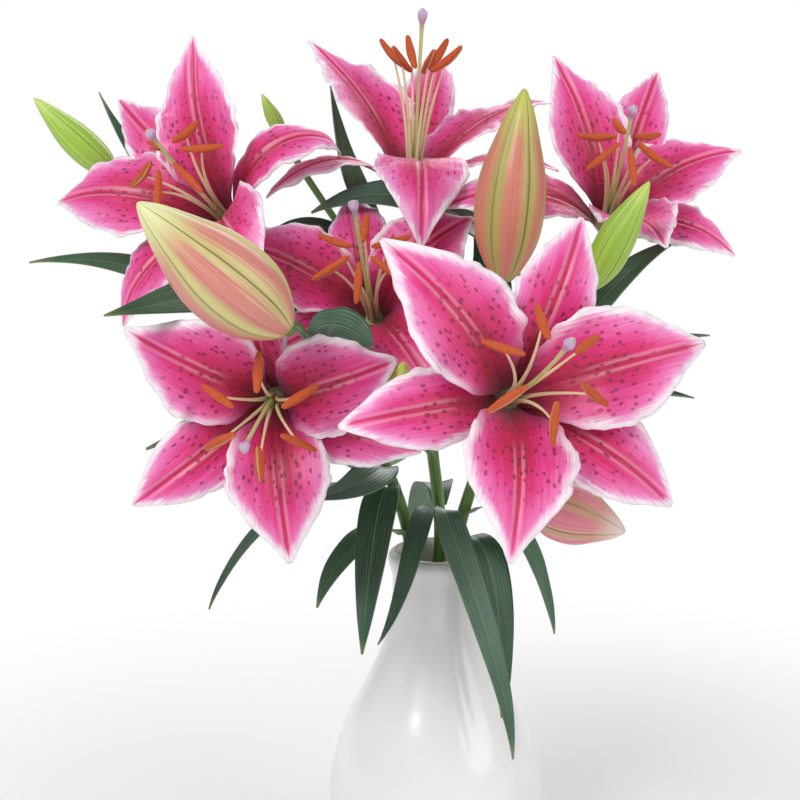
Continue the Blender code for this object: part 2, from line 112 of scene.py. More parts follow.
# ---- stems: centre lines as points in mm, bottom to top ---------------------------------------
STEMS = {
    "stem_left": ((-10, -28, 8), (-14, -16, 100), (-15, -3, 195),
                  (-27, -6, 240), (-52, -10, 285), (-80, -8, 322)),
    "stem_middle": ((-23, 19, 8), (-8, 20, 100), (2, 15, 195),
                    (-2, 16, 245), (-10, 18, 295), (-20, 20, 338)),
    "stem_right": ((28, 10, 8), (24, -1, 100), (11, -10, 195),
                   (22, -14, 245), (42, -14, 295), (64, 0, 332)),
}
STEM_RADIUS = (4.0, 3.2)       # at the foot and at the top
PEDICEL_RADIUS = 2.1
RECEPTACLE_RADIUS = 3.4

# Which stem, and the height on it, carries each flower's pedicel.
FLOWER_SEATS = {
    "front_right": ("stem_right", 236, 45), "front_left": ("stem_left", 262, 30),
    "upper_left": ("stem_left", 316, 26), "middle": ("stem_middle", 288, 22),
    "top": ("stem_middle", 334, 26), "upper_right": ("stem_right", 328, 24),
}

# ---- buds: stem, height on it, base, tip, diameter, and the way the pedicel ends ------------------
BUDS = {
    "bud_front": ("stem_left", 262, (-73, -150, 347), (-139, -176, 410), 43, (.05, -.97, -.35)),
    "bud_upright": ("stem_right", 276, (31, -78, 359), (41, -78, 457), 36, (.05, 0, 1)),
    "bud_small": ("stem_middle", 240, (-28, -84, 277), (-19, -112, 325), 24, (.1, -.4, .9)),
    "bud_lower": ("stem_right", 226, (46, -82, 246), (94, -102, 235), 33, (.8, -.5, -.2)),
    "bud_green_left": ("stem_left", 319, (-179, 27, 404), (-224, 25, 448), 19, (-.7, 0, .7)),
    "bud_green_right": ("stem_right", 306, (76, -74, 355), (104, -80, 411), 20, (.4, 0, .9)),
    "bud_green_top": ("stem_middle", 300, (-88, 58, 425), (-100, 56, 449), 9, (-.4, 0, .9)),
}
BUD_OUTLINE = ((0, .18), (.08, .52), (.22, .88), (.38, 1.0), (.56, .92), (.75, .62), (.90, .33), (1, .05))

# ---- leaves: stem, height, azimuth and climb at the root, tip, azimuth and climb at the tip, width, roll
# Azimuth here is in plan: 0 to +X, -90 to -Y. Roll turns the upper face towards the front.
LEAVES = {
    "leaf_01": ("stem_left", 300, 120, 45, (-192, 52, 450), 160, 65, 20, 20),
    "leaf_02": ("stem_left", 272, 190, 40, (-221, -20, 362), 185, -8, 24, 35),
    "leaf_03": ("stem_left", 232, 180, 40, (-159, -34, 262), 195, -20, 20, 30),
    "leaf_04": ("stem_left", 220, 190, 50, (-125, -50, 176), 205, -68, 17, 0),
    "leaf_05": ("stem_left", 313, 222, 38, (-160, -148, 354), 222, -5, 26, 45),
    "leaf_06": ("bud_front", .66, 10, 65, (-35, -104, 330), 330, -50, 24, 40),
    "leaf_07": ("stem_middle", 306, 215, 62, (-98, 2, 369), 180, -35, 30, 50),
    "leaf_08": ("stem_middle", 331, 228, 70, (-60, 42, 454), 120, 75, 18, 10),
    "leaf_09": ("stem_right", 324, 190, 74, (-69, -12, 388), 185, -28, 28, 42),
    "leaf_10": ("stem_right", 268, 115, 70, (18, 34, 394), 150, 60, 26, 10),
    "leaf_11": ("stem_right", 290, -20, 40, (131, -22, 376), 0, 25, 24, 35),
    "leaf_12": ("stem_right", 214, 225, 55, (40, -76, 100), 280, -78, 18, 0),
    "leaf_13": ("stem_left", 230, 255, 45, (-41, -88, 164), 255, -72, 20, 0),
    "leaf_14": ("stem_left", 206, 235, 35, (-66, -56, 179), 225, -65, 20, 0),
    "leaf_15": ("stem_middle", 214, 250, 40, (-33, -62, 160), 215, -50, 13, 0),
    "leaf_16": ("stem_right", 204, 300, 45, (35, -52, 114), 250, -80, 21, 0),
    "leaf_17": ("stem_right", 222, 320, 40, (64, -44, 160), 310, -78, 18, 0),
    "leaf_18": ("stem_left", 244, 270, 30, (-66, -72, 244), 190, -10, 20, 45),
    "leaf_19": ("stem_right", 258, 5, 35, (143, -4, 284), 0, -12, 18, 20),
    "leaf_20": ("stem_right", 280, -25, 30, (148, -18, 322), -10, 5, 20, 20),
    "leaf_21": ("stem_middle", 300, 80, 55, (10, 118, 352), 85, -10, 28, 0),
    "leaf_22": ("stem_left", 244, 120, 45, (-88, 84, 268), 120, -40, 24, 0),
    "leaf_23": ("stem_right", 246, 60, 45, (94, 76, 262), 50, -45, 24, 0),
    "leaf_24": ("stem_middle", 216, 85, 40, (-12, 92, 168), 95, -65, 22, 0),
}
LEAF_OUTLINE = ((0, .38), (.12, .62), (.35, 1.0), (.60, .90), (.82, .52), (1, .05))
LEAF_FOLD = 0.16               # rise of each half from the midrib, share of its width

# ---- vase: the wall as (radius, height), up the inside and down the outside -------------------------
VASE_INSIDE = ((0, 6), (38, 6.5), (50, 12), (56, 28), (57, 50), (54, 72), (46, 95), (36, 115),
               (27.5, 134), (22.5, 153), (21, 170), (21, 184), (22, 191))
VASE_OUTSIDE = ((24.5, 195), (27, 193.5), (28, 190), (27, 185.5), (25.5, 180), (25.5, 168), (27.5, 152),
                (32.5, 135), (41, 116), (51, 96), (58.5, 74), (62, 52), (61, 28), (56, 10),
                (50, 2), (46, 0), (0, 0))
# Per bud: the ribs' colour, the bands' colour, the tip's colour and the seams' colour.
BUD_TONES = {
    "bud_front": ((.58, .52, .20), (.62, .18, .17), (.78, .82, .44), (.24, .10, .06)),
    "bud_upright": ((.42, .36, .10), (.60, .17, .14), (.50, .56, .10), (.20, .07, .05)),
    "bud_small": ((.42, .42, .10), (.52, .26, .16), (.55, .62, .12), (.16, .10, .05)),
    "bud_lower": ((.58, .34, .20), (.72, .19, .27), (.84, .74, .66), (.30, .07, .09)),
    "bud_green_left": ((.38, .58, .07), (.30, .50, .05), (.55, .70, .18), (.08, .18, .03)),
    "bud_green_right": ((.36, .55, .06), (.27, .46, .04), (.55, .66, .16), (.07, .16, .03)),
    "bud_green_top": ((.40, .60, .10), (.32, .52, .07), (.55, .70, .18), (.10, .22, .04)),
}
LEAF_THICKNESS = 0.5
LEAF_ROWS, LEAF_COLUMNS = 48, 14
LEAF_VEINS = 5
BUD_ROWS, BUD_COLUMNS = 70, 108
STEM_ROWS, STEM_COLUMNS = 120, 20
PEDICEL_ROWS, PEDICEL_COLUMNS = 40, 16
VASE_ROWS_INSIDE, VASE_ROWS_OUTSIDE, VASE_COLUMNS = 60, 90, 128

# ---- light and camera -----------------------------------------------------------------------------------
CAMERA_AIM = (-.021, 0, .282)
CAMERA_CLIMB = 12
CAMERA_DISTANCE = 1.0
CAMERA_LENS = 80.4
WORLD_LIGHT = .46
FLOOR_SIZE, FLOOR_FADE = 12, (.18, .55)
# Each lamp's place, its diameter and its power; all aim at LAMP_AIM.
LAMP_AIM = (0, 0, .3)
LAMPS = {
    "key": ((-.9, -1.3, 1.5), .8, 20),
    "fill": ((1.2, -.9, .8), 1.2, 7),
    "rim": ((.3, 1.3, 1.1), 1.0, 9),
}


# ---- small maths ------------------------------------------------------------------------------------
def through(keys, t):
    """A smooth curve through (t, value) keys, read at t."""
    ts, ys = [k[0] for k in keys], [k[1] for k in keys]
    t = min(max(t, ts[0]), ts[-1])
    i = min(max(k for k in range(len(ts)) if ts[k] <= t), len(ts) - 2)

    def slope(j):
        a, b = max(j - 1, 0), min(j + 1, len(ts) - 1)
        return (ys[b] - ys[a]) / (ts[b] - ts[a])

    h = ts[i + 1] - ts[i]
    u = (t - ts[i]) / h
    return ((2 * u**3 - 3 * u**2 + 1) * ys[i] + (u**3 - 2 * u**2 + u) * h * slope(i)
            + (3 * u**2 - 2 * u**3) * ys[i + 1] + (u**3 - u**2) * h * slope(i + 1))


def unit(vector):
    vector = np.array(vector, float)
    return vector / math.sqrt(vector @ vector)


def direction(azimuth, climb):
    a, c = math.radians(azimuth), math.radians(climb)
    return np.array([math.cos(a) * math.cos(c), math.sin(a) * math.cos(c), math.sin(c)])


def bezier(points, t):
    points = [np.array(p, float) for p in points]
    while len(points) > 1:
        points = [a * (1 - t) + b * t for a, b in zip(points[:-1], points[1:])]
    return points[0]


def smooth(low, high, x):
    t = min(1, max(0, (x - low) / (high - low)))
    return t * t * (3 - 2 * t)


def ripple(seed, x, y=0.0):
    """Smooth noise between -1 and 1."""
    return noise.noise(Vector((x, y, 17.3 * seed)))


# ---- mesh building --------------------------------------------------------------------------------------
class Form:
    """Collects grids of points into one mesh, with three UV maps: shape, flat and rim."""
    MAPS = ("shape", "flat", "rim")

    def __init__(self):
        self.points, self.faces, self.slots, self.corners = [], [], [], []

    def grid(self, rows, columns, place, slot=0, closed=False):
        """place(s, t) gives a point in mm and its three UV pairs; s and t run from 0 to 1."""
        start, width = len(self.points), columns if closed else columns + 1
        maps = []
        for i in range(rows + 1):
            for j in range(columns + 1):
                point, *uvs = place(i / rows, j / columns)
                maps.append(uvs)
                if j < width:
                    self.points.append(point * MM)
        for i in range(rows):
            for j in range(columns):
                cells = ((i, j), (i + 1, j), (i + 1, j + 1), (i, j + 1))
                self.faces.append([start + a * width + b % width for a, b in cells])
                self.corners.append([maps[a * (columns + 1) + b] for a, b in cells])
                self.slots.append(slot)
        return [start + j for j in range(width)]

    def fan(self, rim, point, slot=0):
        """Closes a ring of points with triangles to one centre."""
        centre = len(self.points)
        self.points.append(point * MM)
        for a, b in zip(rim, rim[1:] + rim[:1]):
            self.faces.append([b, a, centre])
            self.corners.append([((.5, 0), (0, 0), (.01, .5))] * 3)
            self.slots.append(slot)

    def make(self, name, materials):
        mesh = bpy.data.meshes.new(name)
        mesh.from_pydata([tuple(p) for p in self.points], [], self.faces)
        for k, title in enumerate(self.MAPS):
            layer = mesh.uv_layers.new(name=title)
            flat = [x for face in self.corners for corner in face for x in corner[k]]
            layer.data.foreach_set("uv", flat)
        mesh.polygons.foreach_set("material_index", self.slots)
        mesh.polygons.foreach_set("use_smooth", [True] * len(self.faces))
        for material in materials:
            mesh.materials.append(material)
        mesh.update()
        piece = bpy.data.objects.new(name, mesh)
        bpy.context.scene.collection.objects.link(piece)
        return piece


def thicken(piece, thickness, back_slot=0):
    solidify = piece.modifiers.new("thickness", "SOLIDIFY")
    solidify.thickness = thickness * MM
    solidify.offset = 0
    solidify.material_offset = back_slot
    solidify.material_offset_rim = 0
    return piece


def settle(piece, slot, *nodes):
    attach(piece, "root")
    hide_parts(*nodes)
    return piece


def heading_at(points, k):
    """Unit direction of a route at point k, skipping repeated points."""
    last, reach = len(points) - 1, 1
    while True:
        step = points[min(k + reach, last)] - points[max(k - reach, 0)]
        if step @ step > 1e-6:
            return unit(step)
        reach += 1


def tube_place(route, seed=0, section=None):
    """place(s, t) of a tube along (point, radius) pairs; section(angle) scales its radius."""
    points = np.array([p for p, _ in route], float)
    radii = [r for _, r in route]
    last = len(points) - 1
    tangents = [heading_at(points, k) for k in range(last + 1)]
    side = unit(np.cross(tangents[0], (.31, .17, .94) if abs(tangents[0][2]) < .9 else (1, .2, 0)))
    sides = []
    for tangent in tangents:
        side = unit(side - tangent * (side @ tangent))
        sides.append(side)
    lengths = np.concatenate([[0], np.cumsum(np.linalg.norm(np.diff(points, axis=0), axis=1))])

    def place(s, t):
        k = min(int(round(s * last)), last)
        a = 2 * math.pi * t
        radius = radii[k] * (section(a) if section else 1)
        across = math.cos(a) * sides[k] + math.sin(a) * np.cross(tangents[k], sides[k])
        return (points[k] + across * radius, (t, s),
                (t * 2 * math.pi * radii[k] * MM, lengths[k] * MM), (radii[k] * MM, seed))

    return place, last


def fine(keys, count):
    """A route of (point, radius) keys resampled smoothly at count steps."""
    spans = np.linspace(0, 1, len(keys))
    axes = [[(s, float(k[0][a])) for s, k in zip(spans, keys)] for a in range(3)]
    widths = [(s, k[1]) for s, k in zip(spans, keys)]
    return [(np.array([through(axis, n / count) for axis in axes]), through(widths, n / count))
            for n in range(count + 1)]


# ---- materials ------------------------------------------------------------------------------------------
class Shader:
    """A Principled material and short calls that add nodes to it."""

    def __init__(self, name, roughness, **sockets):
        self.material = bpy.data.materials.new(name)
        self.material.use_nodes = True
        self.tree = self.material.node_tree
        self.shader = self.tree.nodes["Principled BSDF"]
        self.shader.inputs["Roughness"].default_value = roughness
        for title, value in sockets.items():
            self.shader.inputs[title.replace("_", " ")].default_value = value

    def node(self, kind, **values):
        made = self.tree.nodes.new(kind)
        for key, value in values.items():
            setattr(made, key, value)
        return made

    def plug(self, socket, value):
        if isinstance(value, bpy.types.NodeSocket):
            self.tree.links.new(value, socket)
        elif isinstance(value, tuple) and len(value) == 3 and socket.type == "RGBA":
            socket.default_value = (*value, 1)
        else:
            socket.default_value = value

    def math(self, operation, a, b=0.0, clamp=False):
        made = self.node("ShaderNodeMath", operation=operation, use_clamp=clamp)
        self.plug(made.inputs[0], a)
        self.plug(made.inputs[1], b)
        return made.outputs[0]

    def step(self, low, high, x):
        """0 below low, 1 above high, smooth between; low may be above high."""
        made = self.node("ShaderNodeMapRange", interpolation_type="SMOOTHSTEP")
        self.plug(made.inputs["Value"], x)
        flip = low > high
        made.inputs["From Min"].default_value = min(low, high)
        made.inputs["From Max"].default_value = max(low, high)
        made.inputs["To Min"].default_value = 1 if flip else 0
        made.inputs["To Max"].default_value = 0 if flip else 1
        return made.outputs["Result"]

    def mix(self, share, a, b, blend="MIX"):
        made = self.node("ShaderNodeMix", data_type="RGBA", blend_type=blend)
        self.plug(made.inputs[0], share)
        self.plug(made.inputs[6], a)
        self.plug(made.inputs[7], b)
        return made.outputs[2]

    def ramp(self, x, *stops):
        made = self.node("ShaderNodeValToRGB")
        ramp = made.color_ramp
        while len(ramp.elements) < len(stops):
            ramp.elements.new(.5)
        for element, (place, colour) in zip(ramp.elements, stops):
            element.position = place
            element.color = (*colour, 1)
        self.plug(made.inputs[0], x)
        return made.outputs[0]

    def uv(self, title):
        """The two coordinates of a UV map."""
        split = self.node("ShaderNodeSeparateXYZ")
        self.tree.links.new(self.node("ShaderNodeUVMap", uv_map=title).outputs[0], split.inputs[0])
        return split.outputs[0], split.outputs[1]

    def vector(self, x, y, z=0.0):
        made = self.node("ShaderNodeCombineXYZ")
        for socket, value in zip(made.inputs, (x, y, z)):
            self.plug(socket, value)
        return made.outputs[0]

    def place(self):
        return self.node("ShaderNodeTexCoord").outputs["Object"]

    def noise(self, vector, scale, detail=2.0):
        made = self.node("ShaderNodeTexNoise")
        made.inputs["Scale"].default_value = scale
        made.inputs["Detail"].default_value = detail
        self.plug(made.inputs["Vector"], vector)
        return made.outputs["Fac"]

    def spots(self, vector, scale, dimensions="3D"):
        made = self.node("ShaderNodeTexVoronoi", voronoi_dimensions=dimensions)
        made.inputs["Scale"].default_value = scale
        self.plug(made.inputs["Vector"], vector)
        return made.outputs["Distance"]

    def paint(self, colour, height=None, depth=0.2, strength=0.5):
        self.plug(self.shader.inputs["Base Color"], colour)
        if height is not None:
            bump = self.node("ShaderNodeBump")
            bump.inputs["Distance"].default_value = depth * MM
            bump.inputs["Strength"].default_value = strength
            self.plug(bump.inputs["Height"], height)
            self.plug(self.shader.inputs["Normal"], bump.outputs[0])
        return self.material


def tepal_coordinates(m):
    """Across (0 middle, 1 edge), along, lengthwise fibres, blotches, the distances in mm from the
    middle and from the edge, and the flat coordinates with the tepal's seed."""
    u, along = m.uv("shape")
    across = m.math("ABSOLUTE", m.math("SUBTRACT", m.math("MULTIPLY", u, 2.0), 1.0))
    x, y = m.uv("flat")
    edge, seed = m.uv("rim")
    fibres = m.noise(m.vector(m.math("MULTIPLY", x, 900.0), m.math("MULTIPLY", y, 28.0), seed), 1.0, 4.0)
    blotches = m.noise(m.vector(m.math("MULTIPLY", x, 130.0), m.math("MULTIPLY", y, 40.0), seed), 1.0, 3.0)
    middle = m.math("MULTIPLY", m.math("ABSOLUTE", x), 1000.0)
    return across, along, fibres, blotches, middle, m.math("MULTIPLY", edge, 1000.0), (x, y, seed)


def petal_front(name, pale, margin):
    """Inside of a tepal: dark throat, crimson band, pink field, spots, midrib and a white margin."""
    m = Shader(name, .42, Subsurface_Weight=.12, Subsurface_Scale=.002, Sheen_Weight=.15)
    across, along, fibres, blotches, middle, edge, (x, y, seed) = tepal_coordinates(m)
    reach = m.math("ADD", m.math("MULTIPLY", across, .62 + .3 * pale),
                   m.math("MULTIPLY", m.math("SUBTRACT", along, .42), .80))
    reach = m.math("ADD", reach, m.math("MULTIPLY", m.math("SUBTRACT", fibres, .5), .45))
    reach = m.math("ADD", reach, m.math("MULTIPLY", m.math("SUBTRACT", blotches, .5), .40))
    colour = m.ramp(reach, (.02, (.40, .004, .050)), (.20, (.58, .009, .105)), (.44, (.71, .034, .23)),
                    (.72, (.79, .16, .44)), (.97, (.85, .42, .68)))
    ragged = m.math("ADD", edge, m.math("MULTIPLY", m.math("SUBTRACT", fibres, .5), 9.0))
    ragged = m.math("ADD", ragged, m.math("MULTIPLY", m.math("SUBTRACT", blotches, .5), 8.0))
    white = m.math("MULTIPLY", m.step(margin * 1.5, margin * .2, ragged), m.step(.20, .42, along))
    colour = m.mix(white, colour, (.90, .80, .86))
    side_line = m.math("MULTIPLY", m.step(1.0, 1.6, middle), m.step(3.4, 2.2, middle))
    side_line = m.math("MULTIPLY", side_line, m.math("MULTIPLY", m.step(.30, .5, along), .35))
    colour = m.mix(side_line, colour, (.90, .45, .62))
    rib = m.math("MULTIPLY", m.step(1.3, .3, middle), m.step(.98, .80, along))
    colour = m.mix(m.math("MULTIPLY", rib, .75), colour, (.50, .010, .07))
    seeds = m.vector(m.math("ADD", x, m.math("MULTIPLY", seed, .37)), m.math("MULTIPLY", y, .62))
    size = m.noise(m.vector(x, y, seed), 160.0, 1.0)
    dots = m.step(.38, .26, m.math("ADD", m.spots(seeds, 250.0, "2D"), m.math("MULTIPLY", size, .30)))
    zone = m.math("MULTIPLY", m.step(.12, .22, along), m.step(.82, .52, along))
    zone = m.math("MULTIPLY", zone, m.step(.96, .62, across))
    dots = m.math("MULTIPLY", dots, zone)
    colour = m.mix(m.math("MULTIPLY", dots, .85), colour, (.24, .003, .045))
    throat = m.step(.30, .06, m.math("ADD", along, m.math("MULTIPLY", across, -.04)))
    colour = m.mix(m.math("MULTIPLY", throat, .85), colour, (.16, .008, .03))
    height = m.math("ADD", m.math("MULTIPLY", fibres, .8), m.math("MULTIPLY", dots, 1.2))
    return m.paint(colour, height, .35, .55)


def petal_back(name, pale, margin):
    """Outside of a tepal: muted rose with a pale raised midrib, greenish at its root."""
    m = Shader(name, .48, Subsurface_Weight=.12, Subsurface_Scale=.002, Sheen_Weight=.2)
    across, along, fibres, blotches, middle, edge, _ = tepal_coordinates(m)
    reach = m.math("ADD", m.math("MULTIPLY", across, .75 + .2 * pale),
                   m.math("MULTIPLY", m.math("SUBTRACT", fibres, .5), .5))
    colour = m.ramp(reach, (.02, (.56, .09, .20)), (.35, (.62, .17, .30)), (.70, (.72, .33, .47)),
                    (.98, (.82, .56, .68)))
    white = m.step(margin * 1.3, margin * .2, m.math("ADD", edge, m.math("MULTIPLY", blotches, 1.5)))
    colour = m.mix(white, colour, (.88, .76, .82))
    colour = m.mix(m.math("MULTIPLY", m.step(1.6, .5, middle), .45), colour, (.62, .42, .30))
    colour = m.mix(m.step(.16, .02, along), colour, (.46, .52, .24))
    return m.paint(colour, fibres, .3, .5)


def leaf_material(name, deep, light):
    """A leaf's face: parallel veins, a paler midrib and blotches from light to deep green."""
    m = Shader(name, .36, Coat_Weight=.12, Coat_Roughness=.35)
    u, along = m.uv("shape")
    x, y = m.uv("flat")
    _, seed = m.uv("rim")
    fibres = m.noise(m.vector(m.math("MULTIPLY", x, 1500.0), m.math("MULTIPLY", y, 18.0), seed), 1.0, 3.0)
    clouds = m.noise(m.place(), 28.0, 3.0)
    tone = m.math("ADD", m.math("MULTIPLY", fibres, .55), m.math("MULTIPLY", clouds, .55))
    colour = m.mix(m.step(.30, .80, tone), deep, light)
    centred = m.math("SUBTRACT", m.math("MULTIPLY", u, 2.0), 1.0)
    across = m.math("ABSOLUTE", centred)
    waves = m.math("COSINE", m.math("MULTIPLY", centred, LEAF_VEINS * math.pi))
    veins = m.math("POWER", m.math("ABSOLUTE", waves), 9.0)
    colour = m.mix(m.math("MULTIPLY", veins, .28), colour, tuple(min(1, 1.9 * c + .02) for c in light))
    colour = m.mix(m.math("MULTIPLY", m.step(.07, .015, across), .6), colour, (.16, .27, .12))
    colour = m.mix(m.math("MULTIPLY", m.step(.93, 1.0, across), .45), colour, (.22, .33, .15))
    colour = m.mix(m.math("MULTIPLY", m.step(.93, 1.0, along), .5), colour, (.34, .36, .14))
    height = m.math("SUBTRACT", m.math("MULTIPLY", fibres, .4), m.math("MULTIPLY", veins, .8))
    return m.paint(colour, height, .3, .6)


def stem_material():
    m = Shader("stem_skin", .45, Coat_Weight=.08)
    x, y = m.uv("flat")
    streaks = m.noise(m.vector(m.math("MULTIPLY", x, 900.0), m.math("MULTIPLY", y, 30.0)), 1.0, 3.0)
    clouds = m.noise(m.place(), 60.0, 2.0)
    colour = m.mix(m.step(.3, .75, streaks), (.065, .17, .035), (.17, .30, .07))
    colour = m.mix(m.math("MULTIPLY", m.step(.58, .75, clouds), .5), colour, (.20, .16, .07))
    return m.paint(colour, streaks, .25, .5)


def bud_material(name, rib, band, tip, seam):
    """Ribs and bands round a bud, dark seams between its tepals and a paler tip."""
    m = Shader(name, .40, Subsurface_Weight=.1, Subsurface_Scale=.003, Coat_Weight=.06)
    turn, along = m.uv("shape")
    x, y = m.uv("flat")
    fibres = m.noise(m.vector(m.math("MULTIPLY", x, 700.0), m.math("MULTIPLY", y, 22.0)), 1.0, 4.0)
    lobe = m.math("ABSOLUTE", m.math("SUBTRACT", m.math("FRACT", m.math("MULTIPLY", turn, 3.0)), .5))
    wander = m.math("ADD", lobe, m.math("MULTIPLY", m.math("SUBTRACT", fibres, .5), .22))
    bands = m.math("MULTIPLY", m.step(.05, .17, wander), m.step(.47, .33, wander))
    bands = m.math("MULTIPLY", bands, m.step(1.0, .62, along))
    colour = m.mix(bands, rib, band)
    colour = m.mix(m.math("MULTIPLY", m.step(.35, .75, fibres), .25), colour, tip)
    colour = m.mix(m.math("MULTIPLY", m.step(.70, .97, along), .8), colour, tip)
    colour = m.mix(m.math("MULTIPLY", m.step(.030, .006, lobe), .55), colour, seam)
    colour = m.mix(m.math("MULTIPLY", m.step(.478, .496, lobe), .9), colour, seam)
    colour = m.mix(m.step(.06, .0, along), colour, (.22, .34, .08))
    return m.paint(colour, fibres, .35, .55)


def anther_material():
    m = Shader("pollen", .85)
    grains = m.noise(m.place(), 2600.0, 2.0)
    turn, _ = m.uv("shape")
    colour = m.mix(m.step(.35, .7, grains), (.40, .050, .014), (.70, .145, .030))
    slit = m.step(.06, .015, m.math("ABSOLUTE", m.math("SUBTRACT", turn, .25)))
    colour = m.mix(m.math("MULTIPLY", slit, .8), colour, (.66, .40, .24))
    return m.paint(colour, grains, .25, .8)


def filament_material():
    m = Shader("filament", .45, Subsurface_Weight=.2, Subsurface_Scale=.002)
    _, along = m.uv("shape")
    streaks = m.noise(m.place(), 300.0, 2.0)
    colour = m.ramp(along, (0, (.42, .46, .20)), (.4, (.72, .62, .36)), (1, (.80, .58, .36)))
    return m.paint(m.mix(m.math("MULTIPLY", streaks, .3), colour, (.80, .72, .50)), streaks, .2, .4)


def pistil_material():
    m = Shader("style", .42, Subsurface_Weight=.15, Subsurface_Scale=.002)
    _, along = m.uv("shape")
    streaks = m.noise(m.place(), 400.0, 3.0)
    colour = m.ramp(along, (0, (.24, .38, .08)), (.22, (.34, .46, .10)), (.30, (.50, .56, .16)),
                    (.86, (.52, .52, .20)), (.93, (.42, .26, .40)), (.97, (.52, .34, .58)))
    return m.paint(m.mix(m.math("MULTIPLY", streaks, .3), colour, (.62, .56, .42)), streaks, .3, .6)


def glaze_material():
    """White glazed stoneware: faint throwing rings, clouds in the glaze and fine pits."""
    m = Shader("white_glaze", .20, Coat_Weight=.5, Coat_Roughness=.08)
    _, height = m.uv("flat")
    clouds = m.noise(m.place(), 14.0, 4.0)
    rings = m.noise(m.vector(0.0, 0.0, m.math("MULTIPLY", height, 260.0)), 1.0, 2.0)
    pits = m.spots(m.place(), 420.0)
    colour = m.mix(m.step(.35, .70, clouds), (.80, .785, .79), (.86, .85, .85))
    colour = m.mix(m.math("MULTIPLY", m.step(.09, .03, pits), .25), colour, (.55, .52, .50))
    wear = m.math("ADD", m.math("MULTIPLY", rings, .7), m.math("MULTIPLY", clouds, .6))
    return m.paint(colour, wear, .5, .25)


# ---- flowers --------------------------------------------------------------------------------------------
def flower_axes(facing):
    """Right, up and outward unit vectors of a flower, as seen from in front of it."""
    out = unit(facing)
    right = unit(np.cross((0, 0, 1), out))
    return right, np.cross(out, right), out


def centre_line(length, lean_root, lean_tip, curl, root):
    """(radius, height, lean) at even steps from a tepal's root to its tip."""
    radius, height = root
    step = length / LINE_STEPS
    rows = [(radius, height, math.radians(lean_root))]
    for k in range(1, LINE_STEPS + 1):
        middle, lean = (math.radians(lean_root + (lean_tip - lean_root) * (share / LINE_STEPS) ** curl)
                        for share in (k - .5, k))
        radius += math.sin(middle) * step
        height += math.cos(middle) * step
        rows.append((radius, height, lean))
    return rows


def tepal_place(base, axes, tepal, kind, seed):
    """place(s, t) of one tepal with its midrib, ruffled margins and soft waves."""
    outline, lean_root, root = ((PETAL_OUTLINE, PETAL_LEAN, PETAL_ROOT) if kind == "petals"
                                else (SEPAL_OUTLINE, SEPAL_LEAN, SEPAL_ROOT))
    azimuth, length, width, lean_tip, curl = tepal
    right, up, out = axes
    a = math.radians(azimuth)
    away = math.cos(a) * right + math.sin(a) * up
    side = math.cos(a) * up - math.sin(a) * right
    line = centre_line(length, lean_root, lean_tip, curl, root)
    base = np.array(base, float)

    def place(s, t):
        v = 2 * t - 1
        k = min(int(s * LINE_STEPS), LINE_STEPS - 1)
        f = s * LINE_STEPS - k
        radius, height, lean = (p * (1 - f) + q * f for p, q in zip(line[k], line[k + 1]))
        half = width / 2 * through(outline, s)
        x = v * half * (1 + CRINKLE * ripple(seed + math.copysign(.5, v), s * 17) * abs(v) ** 3)
        inward = math.sin(lean) * out - math.cos(lean) * away
        lift = x * x * math.cos(lean) / (2 * max(radius, 7))
        open_part = smooth(.16, .42, s) * smooth(1.0, .80, s)
        hem = abs(v) ** 3 * open_part * RUFFLE[kind]
        lift += hem * (ripple(seed + (3 if v > 0 else 5), s * 7.5) * 1.5
                       + ripple(seed + (7 if v > 0 else 9), s * 19) * .7)
        lift -= open_part * 1.6 * abs(v) ** 5
        lift += open_part * .9 * ripple(seed + 11, s * 3.2, v * 1.6)
        groove = math.exp(-(x / GROOVE_WIDTH) ** 2) * smooth(.02, .18, s) * smooth(1.0, .86, s)
        ridge = math.exp(-((abs(x) - RIDGE_OFFSET) / GROOVE_WIDTH) ** 2) * open_part
        lift += SIDE_RIDGE * ridge - MIDRIB_GROOVE * groove
        point = base + away * radius + out * height + side * x + inward * lift
        return point, (t, s), (x * MM, s * length * MM), ((1 - abs(v)) * half * MM, seed)

    return place


def whorl(flower, spec, kind, seed):
    form = Form()
    axes = flower_axes(spec["facing"])
    rim = []
    for k, tepal in enumerate(sorted(spec[kind], key=lambda t: t[0] % 360)):
        rim += form.grid(TEPAL_ROWS, TEPAL_COLUMNS, tepal_place(spec["base"], axes, tepal, kind, seed + k))
    root = PETAL_ROOT if kind == "petals" else SEPAL_ROOT
    form.fan(rim, np.array(spec["base"]) + axes[2] * root[1])
    pale, margin = FLOWER_TONES[flower]
    if kind == "sepals":
        margin *= .7
    node = f"{flower}_{kind}"
    faces = [petal_front(node + "_inside", pale, margin), petal_back(node + "_outside", pale, margin)]
    settle(thicken(form.make(node + "_fine", faces), TEPAL_THICKNESS, 1), "petal", node)


def anther_section(angle):
    """Two lobes with a slit between them."""
    return (.88 + .14 * abs(math.cos(angle))) * (1 - .22 * math.exp(-((angle - math.pi / 2) / .35) ** 2))


